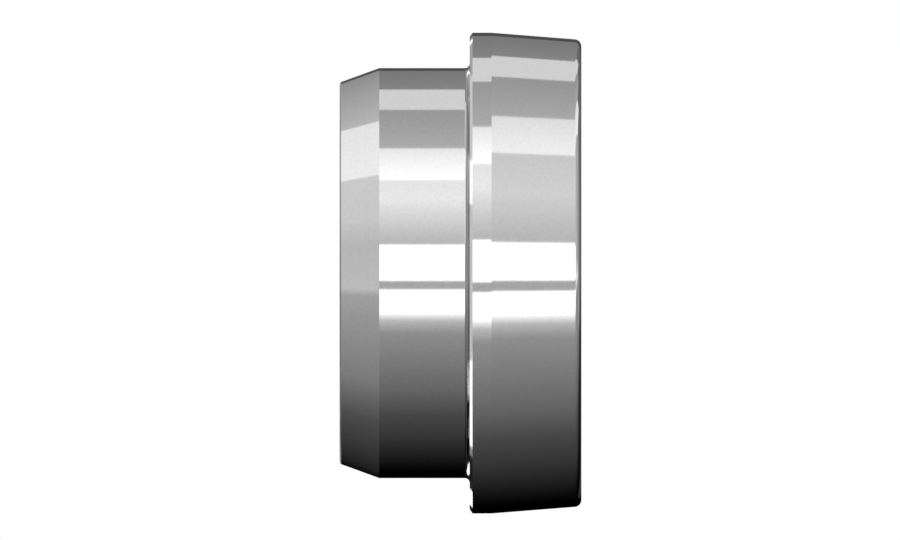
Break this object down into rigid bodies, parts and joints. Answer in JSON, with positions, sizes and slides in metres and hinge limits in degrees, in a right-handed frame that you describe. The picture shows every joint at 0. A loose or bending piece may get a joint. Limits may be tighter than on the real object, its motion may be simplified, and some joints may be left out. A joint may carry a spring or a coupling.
{
  "type": "tube sleeve",
  "caption": "Short turned metal sleeve with a wider head, slid over the end of a tube so that a union nut can pull on its shoulder and clamp the tube to a fitting.",
  "frame": {"origin": "centre of the head's flat front face, on the bore's axis; the sleeve stands on that face", "axes": "+Z along the bore, from the head's front face to the tail; +X and +Y are any two directions across it"},
  "size_m": [0.034, 0.034, 0.0171],
  "materials": {
    "polished_steel": "fine turned and polished, bare metal"
  },
  "bodies": {
    "root": {"sleeve": "polished_steel"}
  },
  "joints": []
}
